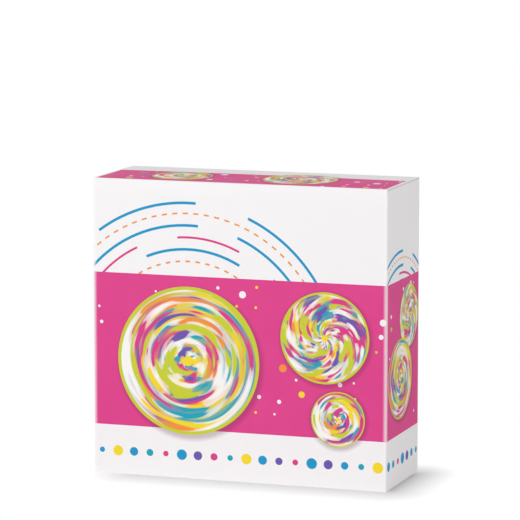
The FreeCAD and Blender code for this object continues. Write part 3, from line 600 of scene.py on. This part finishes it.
# Hand-spun top: an ABS plate with a lime rim, and a yellow peg and tip pushed through its hub.
# Polished moulds leave the plastic glossy, with faint flow lines 11 mm apart over a slight
# orange peel of 0.7 mm.
def moulded_abs(name, colour, deeper):
    plastic = new_material(name)
    spot = add(plastic, "TexCoord").outputs["Object"]
    flow_lines = add(plastic, "TexNoise", spot, Scale=0.09 * MM, Detail=2, Distortion=0.6)
    tone = add(plastic, "Mix", flow_lines, linear(colour), linear(deeper), data_type="RGBA")
    polish = add(plastic, "TexNoise", spot, Scale=1.4 * MM, Detail=2)
    gloss = add(plastic, "MapRange", flow_lines, 0.3, 0.7, 0.2, 0.3)
    relief = add(plastic, "Bump", Height=polish, Strength=0.05, Distance=0.0001)
    add(plastic, "OutputMaterial", add(
        plastic, "BsdfPrincipled", Base_Color=tone, Roughness=gloss, IOR=1.54, Normal=relief,
        Subsurface_Weight=0.06, Subsurface_Radius=(0.002, 0.002, 0.001), Subsurface_Scale=0.5))
    return plastic


lime_abs = moulded_abs("moulded_lime_abs", "#C9D23A", "#BDC72E")
yellow_abs = moulded_abs("moulded_yellow_abs", "#F6D21E", "#EEC60F")
for node, plastic, slot in (("spin_plate", lime_abs, "lime_plastic"),
                            ("spin_peg", yellow_abs, "yellow_plastic"),
                            ("spin_tip", yellow_abs, "yellow_plastic")):
    form = bmesh.new()
    form.from_mesh(nodes[node].data)
    bmesh.ops.remove_doubles(form, verts=form.verts, dist=NEAR)
    moulding = new_piece(node + "_moulding", form)
    mesh = moulding.data
    mesh.attributes.remove(mesh.attributes["custom_normal"])
    smooth(mesh, 35)
    mesh.materials.append(plastic)
    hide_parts(node)
    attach(moulding, "spinning_top")


# Paper goods: the disc on the top, four spare discs and a leaflet folded once. Uncoated
# drawing paper, stamped out, quite matt. Its soft tooth is drawn coarser than it is, at 2.2
# to the millimetre.
drawing_paper = new_material("uncoated_drawing_paper")
paper_place = add(drawing_paper, "TexCoord").outputs["Object"]
tooth = add(drawing_paper, "TexNoise", paper_place, Scale=2.2 * MM, Detail=3, Roughness=0.6)
tone = add(drawing_paper, "Mix", tooth, linear("#F3F2EE"), linear("#FAF9F6"), data_type="RGBA")
relief = add(drawing_paper, "Bump", Height=tooth, Strength=0.3, Distance=0.0001)
add(drawing_paper, "OutputMaterial", add(
    drawing_paper, "BsdfPrincipled", Base_Color=tone, Roughness=0.92, Normal=relief))
for name in ("paper_disc", "spare_paper_discs", "leaflet"):
    nodes[name].data.materials[0] = drawing_paper


# Paint wells: one clear sheet of PET, drawn over a mould into three tapered wells. It is
# nearly invisible face on and shows as a pale line edge on, with waves of 8 mm in its gloss.
clear_sheet = new_material("thermoformed_clear_pet")
sheet_place = add(clear_sheet, "TexCoord").outputs["Object"]
waves = add(clear_sheet, "TexNoise", sheet_place, Scale=0.12 * MM, Detail=1)
relief = add(clear_sheet, "Bump", Height=waves, Strength=0.25, Distance=0.0004)
haze = add(clear_sheet, "MapRange", waves, 0.3, 0.7, 0.05, 0.12)
edge_on = add(clear_sheet, "LayerWeight", 0.35).outputs["Facing"]
body = add(clear_sheet, "MapRange", edge_on, 0, 1, 0.07, 0.65)
add(clear_sheet, "OutputMaterial", add(
    clear_sheet, "BsdfPrincipled", Base_Color=linear("#E3EAED"), Roughness=haze, IOR=1.57,
    Alpha=body, Normal=relief))


def spun_form(profile, steps):
    """Spin a profile of (radius, height) points about Z."""
    form = bmesh.new()
    stations = [form.verts.new((radius, 0, height)) for radius, height in profile]
    runs = [form.edges.new(pair) for pair in zip(stations, stations[1:])]
    bmesh.ops.spin(form, geom=stations + runs, cent=(0, 0, 0), axis=(0, 0, 1), angle=math.tau,
                   steps=steps, use_merge=True)
    bmesh.ops.remove_doubles(form, verts=form.verts, dist=1e-7)
    return form


WELL_PITCH, FLANGE_Z = 0.0345, 0.2061
low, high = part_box("paint_palette")
palette_y = (low.y + high.y) / 2
outer_wall = [(0, -0.04), (0.0108, -0.04), (0.0118, -0.0398), (0.0127, -0.0391),
              (0.0134, -0.0381), (0.0136, -0.0372), (0.0154, -0.0012), (0.0156, -0.0006),
              (0.016, -0.0002), (0.0166, 0), (0.018, 0)]
inner_wall = [(0.018, 0.0005), (0.0164, 0.0005), (0.0158, 0.0004), (0.0153, 0.0001),
              (0.015, -0.0004), (0.0149, -0.0012), (0.0131, -0.0371), (0.0128, -0.038),
              (0.0122, -0.0388), (0.0114, -0.0393), (0.0105, -0.0395), (0, -0.0395)]
palette = bmesh.new()
for place_in_row in (-1, 0, 1):
    form = spun_form(outer_wall + inner_wall, 72)
    for side in (-1, 1):
        if place_in_row != side:
            bmesh.ops.bisect_plane(
                form, geom=form.verts[:] + form.edges[:] + form.faces[:], dist=1e-7,
                plane_co=(side * WELL_PITCH / 2, 0, 0), plane_no=(side, 0, 0), clear_outer=True)
    well_place = (place_in_row * WELL_PITCH, palette_y, FLANGE_Z)
    bmesh.ops.translate(form, vec=well_place, verts=form.verts)
    well = bpy.data.meshes.new("well")
    form.to_mesh(well)
    form.free()
    palette.from_mesh(well)
    bpy.data.meshes.remove(well)
bmesh.ops.remove_doubles(palette, verts=palette.verts, dist=2e-6)
bmesh.ops.recalc_face_normals(palette, faces=palette.faces)
formed = new_piece("paint_palette_formed", palette, clear_sheet)
smooth(formed.data, 50)
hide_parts("paint_palette")
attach(formed, "carton")


def turned(name, profile, lie, steps, material, node):
    """Spin a profile into a closed piece, lay it in place and let it stand for a node."""
    form = spun_form(profile, steps)
    bmesh.ops.recalc_face_normals(form, faces=form.faces)
    bmesh.ops.transform(form, matrix=lie, verts=form.verts)
    piece = new_piece(name, form, material)
    smooth(piece.data, 50)
    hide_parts(node)
    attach(piece, "carton")


# Poster paint poured into each well: opaque and wet, with a bright sheen, stirred in swirls
# about 9 mm across. It climbs a little where it wets the wall.
for node, slot, colour, deeper in (("paint_red", "red_paint", "#C81E32", "#A5101F"),
                                   ("paint_yellow", "yellow_paint", "#F3CF14", "#E0B400"),
                                   ("paint_blue", "blue_paint", "#0C8FD6", "#0572B6")):
    wet_paint = new_material("wet_" + node)
    spot = add(wet_paint, "TexCoord").outputs["Object"]
    stir = add(wet_paint, "TexNoise", spot, Scale=0.11 * MM, Detail=2, Distortion=1.5)
    tone = add(wet_paint, "Mix", stir, linear(colour), linear(deeper), data_type="RGBA")
    relief = add(wet_paint, "Bump", Height=stir, Strength=0.25, Distance=0.0005)
    add(wet_paint, "OutputMaterial", add(
        wet_paint, "BsdfPrincipled", Base_Color=tone, Roughness=0.16, IOR=1.45, Normal=relief))
    low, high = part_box(node)
    mouth, fill = (high.x - low.x) / 2, high.z - low.z
    profile = [(0, 0), (0.0105, 0), (0.0127, 0.0022), (mouth, fill),
               (mouth - 0.0003, fill - 0.0002), (mouth - 0.0009, fill - 0.0007),
               (mouth - 0.0018, fill - 0.001), (mouth - 0.004, fill - 0.00115),
               (0.006, fill - 0.0012), (0, fill - 0.0012)]
    in_well = Matrix.Translation(((low.x + high.x) / 2, (low.y + high.y) / 2, low.z))
    turned(node + "_pool", profile, in_well, 64, wet_paint, node)


# Brush: a turned birch handle dipped in purple lacquer, a crimped aluminium ferrule and a
# pointed tuft of dark hair. It lies in the deck's slot, along X.
low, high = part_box("brush_handle")
brush_start = Vector((low.x, (low.y + high.y) / 2, (low.z + high.z) / 2))
along_x = Matrix.Translation(brush_start) @ Matrix.Rotation(math.pi / 2, 4, "Y")

# The lacquer is deep and glossy over grain lines 25 mm long and 1.1 mm wide
lacquer = new_material("purple_lacquered_birch")
spot = add(lacquer, "TexCoord").outputs["Object"]
grain_place = add(lacquer, "Mapping", spot, Scale=(0.04 * MM, 0.9 * MM, 0.9 * MM))
grain = add(lacquer, "TexNoise", grain_place, Scale=1, Detail=3)
tone = add(lacquer, "Mix", grain, linear("#5A4399"), linear("#7560B8"), data_type="RGBA")
relief = add(lacquer, "Bump", Height=grain, Strength=0.12, Distance=0.0002)
add(lacquer, "OutputMaterial", add(
    lacquer, "BsdfPrincipled", Base_Color=tone, Roughness=0.22, IOR=1.5, Coat_Weight=0.6,
    Coat_Roughness=0.08, Normal=relief))
profile = [(0, 0), (0.0009, 0.0001), (0.0015, 0.0006), (0.0018, 0.0016), (0.0019, 0.004),
           (0.0022, 0.02), (0.0027, 0.045), (0.0032, 0.066), (0.0035, 0.076), (0.0035, 0.088),
           (0.0034, 0.096), (0.0030, 0.106), (0.0026, 0.114), (0.0024, 0.118), (0, 0.118)]
turned("brush_handle_turned", profile, along_x, 32, lacquer, "brush_handle")

# The ferrule is drawn tube: bright, with two crimps and fine lines along it, which are drawn
# 0.25 mm apart to show
ferrule_metal = new_material("drawn_aluminium_ferrule")
spot = add(ferrule_metal, "TexCoord").outputs["Object"]
line_place = add(ferrule_metal, "Mapping", spot, Scale=(0.06 * MM, 4 * MM, 4 * MM))
draw_lines = add(ferrule_metal, "TexNoise", line_place, Scale=1, Detail=2)
polish = add(ferrule_metal, "MapRange", draw_lines, 0.3, 0.7, 0.2, 0.34)
relief = add(ferrule_metal, "Bump", Height=draw_lines, Strength=0.1, Distance=0.0001)
add(ferrule_metal, "OutputMaterial", add(
    ferrule_metal, "BsdfPrincipled", Base_Color=linear("#DDDDE0"), Metallic=1,
    Roughness=polish, Normal=relief))
TUBE, GROOVE_SIDE, GROOVE_FOOT = 0.0028, 0.0026, 0.0025
profile = [(0, 0.118), (0.0024, 0.118), (0.0025, 0.1162), (0.0027, 0.1162), (TUBE, 0.1165)]
for groove in (0.1215, 0.1256):
    profile += [(TUBE, groove - 0.0007), (GROOVE_SIDE, groove - 0.0003), (GROOVE_FOOT, groove),
                (GROOVE_SIDE, groove + 0.0003), (TUBE, groove + 0.0007)]
profile += [(TUBE, 0.129), (TUBE, 0.1418), (0.0027, 0.142), (0.0025, 0.142),
            (0.0025, 0.1405), (0, 0.1405)]
turned("brush_ferrule_crimped", profile, along_x, 40, ferrule_metal,
       "brush_ferrule")

# The tuft: dark hair with a soft sheen over a solid core. A real tuft has thousands of hairs,
# too fine to show, so it is made of 190 coarser ones in streaks 0.3 mm wide.
hair = new_material("dark_pony_hair")
spot = add(hair, "TexCoord").outputs["Object"]
strand_place = add(hair, "Mapping", spot, Scale=(0.06 * MM, 3.5 * MM, 3.5 * MM))
streaks = add(hair, "TexNoise", strand_place, Scale=1, Detail=2)
tone = add(hair, "Mix", streaks, linear("#2A1D16"), linear("#5E4634"), data_type="RGBA")
add(hair, "OutputMaterial", add(
    hair, "BsdfPrincipled", Base_Color=tone, Roughness=0.5, Sheen_Weight=0.3,
    Sheen_Roughness=0.4))
TUFT_ROOT, TUFT_LONG = 0.140, 0.0196
core = [(0, TUFT_ROOT), (0.0022, TUFT_ROOT), (0.0024, 0.1440), (0.0025, 0.1480),
        (0.0019, 0.1535), (0.0010, 0.1575), (0, 0.1592)]
turned("brush_tuft_core", core, along_x, 24, hair, "brush_bristles")

STRANDS, GOLDEN_ANGLE = 190, 2.39996
STRAND_ROOT, STRAND_TIP = 0.00017, 0.00004
OUTER_SHORTER, LENGTH_VARIES = 0.004, 0.0009
TUFT_RADIUS, TUFT_SWELL, SWELL_ENDS, POINT_SPAN = 0.0023, 0.0006, 0.62, 0.42
random.seed(4)
tuft_form = bmesh.new()
for strand in range(STRANDS):
    bearing = strand * GOLDEN_ANGLE
    spread = math.sqrt((strand + 0.5) / STRANDS)
    length = TUFT_LONG - OUTER_SHORTER * spread ** 2 - random.uniform(0, LENGTH_VARIES)
    made_before = len(tuft_form.verts)
    bmesh.ops.create_cone(tuft_form, segments=4, radius1=STRAND_ROOT, radius2=STRAND_TIP,
                          depth=length, cap_ends=True)
    hair_verts = tuft_form.verts[:][made_before:]
    bmesh.ops.translate(tuft_form, vec=(0, 0, length / 2), verts=hair_verts)
    runs = {e for vert in hair_verts for e in vert.link_edges if e.calc_length() > length / 2}
    bmesh.ops.subdivide_edges(tuft_form, edges=list(runs), cuts=4)
    for vert in tuft_form.verts[:][made_before:]:
        share = max(0.0, vert.co.z / TUFT_LONG)
        if share < SWELL_ENDS:
            belly = TUFT_RADIUS + TUFT_SWELL * math.sin(math.pi * share / SWELL_ENDS)
        else:
            belly = TUFT_RADIUS * (1 - (share - SWELL_ENDS) / POINT_SPAN)
        aside = spread * belly
        vert.co += Vector((math.cos(bearing) * aside, math.sin(bearing) * aside, TUFT_ROOT))
bmesh.ops.transform(tuft_form, matrix=along_x, verts=tuft_form.verts)
tuft = new_piece("brush_tuft_strands", tuft_form, hair)
tuft.data.shade_smooth()
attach(tuft, "carton")


# Studio: a matt white table that fades into a white surround a little way from the carton, a
# large soft lamp on the left in front, a weaker one on the right, and an even surround.
def seen_rays(material):
    """1 for rays that show the surround: direct, reflected or through the clear sheet."""
    ray_kind = add(material, "LightPath")
    seen = add(material, "Math", ray_kind.outputs["Is Camera Ray"],
               ray_kind.outputs["Is Glossy Ray"], operation="MAXIMUM")
    return add(material, "Math", seen, ray_kind.outputs["Is Transmission Ray"],
               operation="MAXIMUM")


TABLE_HALF = 6
table_form = bmesh.new()
bmesh.ops.create_grid(table_form, x_segments=1, y_segments=1, size=TABLE_HALF)
table_paint = new_material("matt_white_table")
table = new_piece("studio_table", table_form, table_paint)

# The lamps' shadow shows only near the carton's foot, and it is gone 32 mm from this rectangle.
# Within that reach the table is seen darker than it lights the carton: painted shade that deepens
# the shadow.
SHADOW_MIDDLE, SHADOW_HALF, STRETCH = (0.0155, -0.0045, 0), (0.0955, 0.0285, 0), (1, 0.8, 0)
SHADOW_STARTS, SHADOW_ENDS = 0.001, 0.032
spot = add(table_paint, "TexCoord").outputs["Object"]
seen = seen_rays(table_paint)
beside = add(table_paint, "VectorMath", spot, SHADOW_MIDDLE, operation="SUBTRACT")
beside = add(table_paint, "VectorMath", beside, operation="ABSOLUTE")
beside = add(table_paint, "VectorMath", beside, SHADOW_HALF, operation="SUBTRACT")
beside = add(table_paint, "VectorMath", beside, (0, 0, 0), operation="MAXIMUM")
beside = add(table_paint, "VectorMath", beside, STRETCH, operation="MULTIPLY")
distance = add(table_paint, "VectorMath", beside, operation="LENGTH")
fade = add(table_paint, "MapRange", distance, SHADOW_STARTS, SHADOW_ENDS, 0, 1)
fade = add(table_paint, "Math", fade, 0.62, operation="POWER")
fade = add(table_paint, "Math", fade, seen, operation="MULTIPLY")
# Painted shade: to the eye the table is grey (#CACACA) near the carton's foot, though it bounces
# light as white (#F2F2F2), so the contact shadow there looks deeper
tone = add(table_paint, "Mix", seen, linear("#F2F2F2"), linear("#CACACA"), data_type="RGBA")
matt = add(table_paint, "BsdfDiffuse", tone)
glow = add(table_paint, "Emission", (1, 1, 1, 1), 1)
add(table_paint, "OutputMaterial", add(table_paint, "MixShader", fade, matt, glow))

world = bpy.data.worlds.new("white_surround")
bpy.context.scene.world = world
world.use_nodes = True
world.node_tree.nodes.clear()
strength = add(world, "MapRange", seen_rays(world), 0, 1, 0.5, 1)
add(world, "OutputWorld", add(world, "Background", (1, 1, 1, 1), strength))

AIM = Vector((0, 0, 0.1))
for name, size, power, stand in (("key_lamp", 2.3, 44.8, (-1.55, -2.33, 1.5)),
                                 ("fill_lamp", 2.0, 18, (2.55, -1.2, 1.2))):
    lamp = bpy.data.lights.new(name, "AREA")
    lamp.shape, lamp.size, lamp.energy = "DISK", size, power
    lamp_stand = in_scene(name, lamp)
    lamp_stand.location = stand
    lamp_stand.rotation_euler = (AIM - lamp_stand.location).to_track_quat("-Z", "Y").to_euler()

# Camera: at the photograph's angle, level, 19 degrees to the right of square on and 8 down.
# It looks at a point a little right of and above the carton's foot, from 2.47 m away.
YAW, PITCH = math.radians(18.955), math.radians(8.148)
LOOK_RIGHT, LOOK_UP, LOOK_FROM = 0.00262, 0.15411, 2.4676
camera = bpy.data.cameras.new("camera")
camera.lens, camera.sensor_width = 233.91, 36
camera.clip_start, camera.clip_end = 0.1, 20
view = in_scene("camera", camera)
right = Vector((math.cos(YAW), math.sin(YAW), 0))
ahead = Vector((-math.sin(YAW) * math.cos(PITCH), math.cos(YAW) * math.cos(PITCH),
                -math.sin(PITCH)))
view.location = right * LOOK_RIGHT + right.cross(ahead) * LOOK_UP - ahead * LOOK_FROM
view.rotation_euler = (math.pi / 2 - PITCH, 0, YAW)
bpy.context.scene.camera = view
bpy.context.scene.view_settings.view_transform = "Standard"
